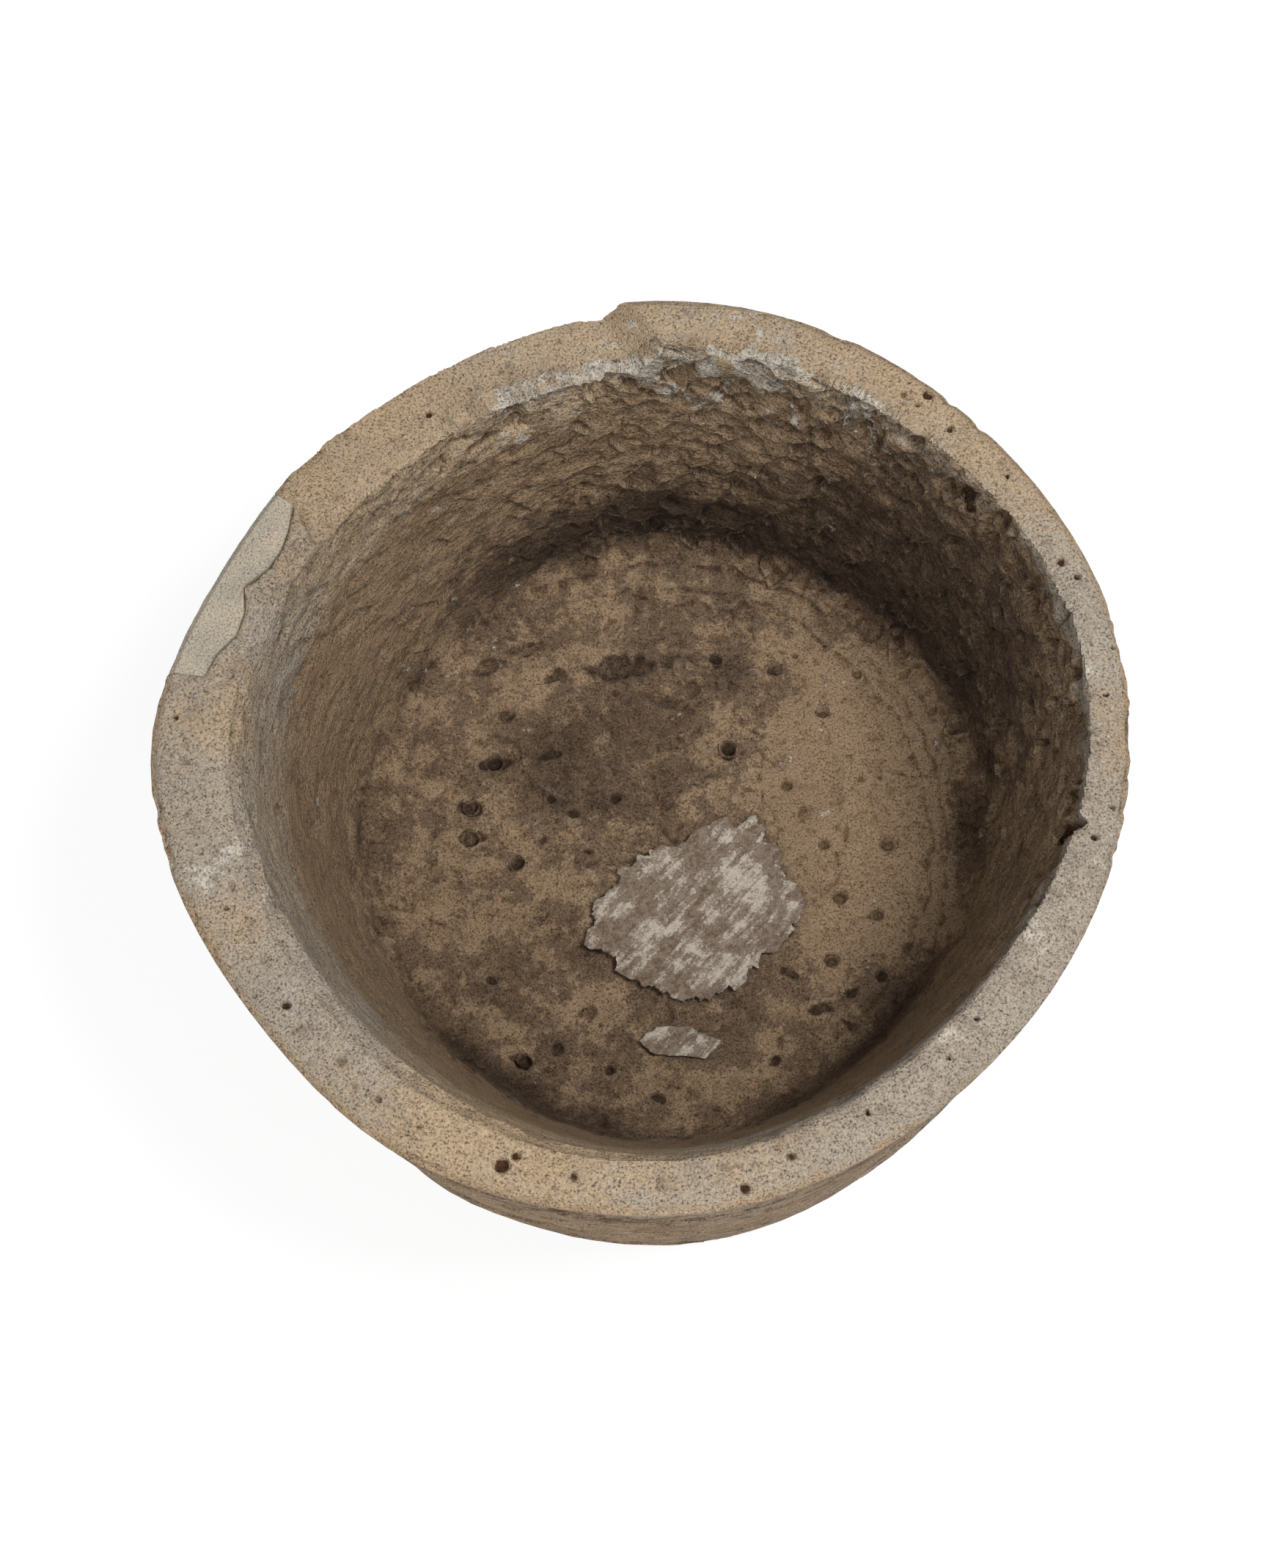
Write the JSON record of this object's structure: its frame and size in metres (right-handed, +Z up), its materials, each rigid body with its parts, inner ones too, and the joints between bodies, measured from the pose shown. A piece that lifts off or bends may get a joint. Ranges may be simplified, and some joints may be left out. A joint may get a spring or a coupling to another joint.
{
  "type": "limestone trough",
  "caption": "Round hand-carved limestone trough with a deep tooled bowl, a worn and broken rim, a grey piece let into the rim and mortar skins on the floor.",
  "frame": {"origin": "centre of the overall outline, on the ground", "axes": "+Z up, +X to the right and -Y towards the observer, with the grey piece of the rim at the back left"},
  "size_m": [0.7026, 0.689, 0.35],
  "materials": {
    "limestone": "rough",
    "repair_stone": "rough",
    "lime_mortar": "rough"
  },
  "bodies": {
    "root": {"trough_block": "limestone", "rim_repair": "repair_stone", "floor_mortar_patch": "lime_mortar", "floor_mortar_residue": "lime_mortar"}
  },
  "joints": []
}
